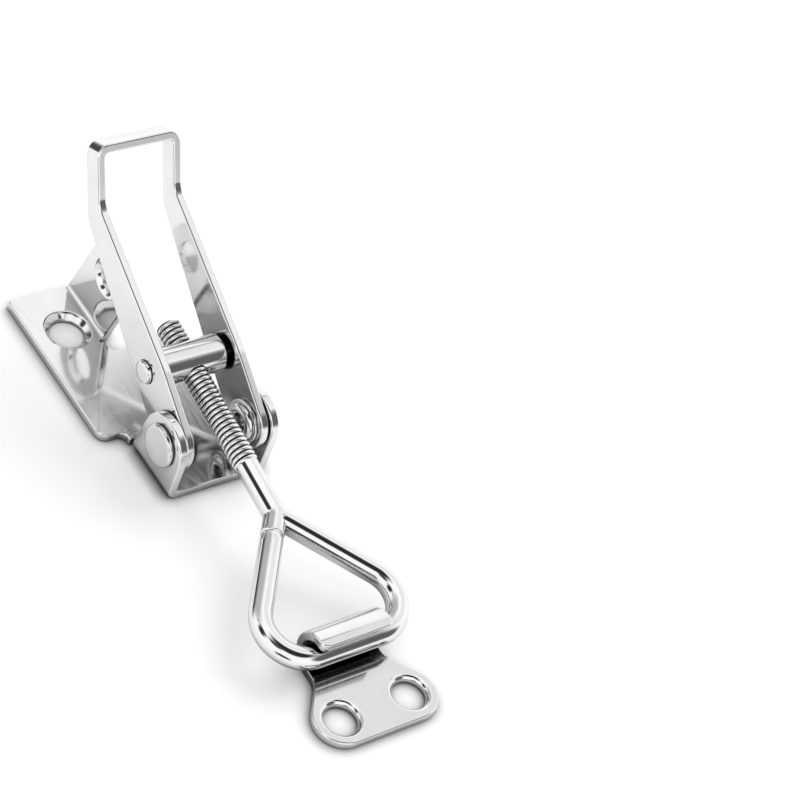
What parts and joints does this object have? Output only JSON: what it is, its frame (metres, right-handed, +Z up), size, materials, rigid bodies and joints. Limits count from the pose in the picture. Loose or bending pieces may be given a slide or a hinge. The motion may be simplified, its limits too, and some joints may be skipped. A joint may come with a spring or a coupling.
{
  "type": "over centre toggle latch",
  "caption": "Over centre toggle latch: bent strap handle on an eared base plate, threaded loop drawn by a cross barrel, and a hook shaped catch plate.",
  "frame": {"origin": "on the surface both plates are screwed to, on the latch's centre line, straight below the handle's pivot axis", "axes": "+X across the latch along the pivot axis, +Y from the catch towards the rear of the base, +Z up off the surface"},
  "size_m": [0.0368, 0.1278, 0.0493],
  "materials": {
    "sheet_steel": "bright zinc plated steel",
    "rivet_steel": "bright zinc plated steel",
    "turned_steel": "bright zinc plated steel",
    "wire_steel": "bright zinc plated steel"
  },
  "bodies": {
    "base": {"base_plate": "sheet_steel", "pivot_rivet_left": "rivet_steel", "pivot_rivet_right": "rivet_steel", "pivot_washer_left": "rivet_steel", "pivot_washer_right": "rivet_steel"},
    "handle": {"handle": "sheet_steel"},
    "barrel": {"barrel_nut": "turned_steel"},
    "rod": {"draw_rod": "wire_steel"},
    "catch": {"catch_plate": "sheet_steel"}
  },
  "joints": [
    {"name": "handle_swing", "type": "hinge", "parent": "base", "child": "handle", "pos_m": [0, 0, 0.01035], "axis": [1, 0, 0], "range_deg": [-31, 28]},
    {"name": "barrel_turn", "type": "hinge", "parent": "handle", "child": "barrel", "pos_m": [0, 0.01371, 0.01758], "axis": [1, 0, 0], "range_deg": [-24, 26]},
    {"name": "rod_adjust", "type": "slide", "parent": "barrel", "child": "rod", "axis": [0, -0.987, -0.1607], "range_m": [-0.005, 0.004]},
    {"name": "catch_travel", "type": "slide", "parent": "base", "child": "catch", "axis": [0, -0.9945, -0.1045], "range_m": [-0.005, 0.004]}
  ],
  "couplings": [
    {"joint": "barrel_turn", "follows": "handle_swing", "ratio": -0.805},
    {"joint": "catch_travel", "follows": "rod_adjust", "ratio": 1}
  ]
}
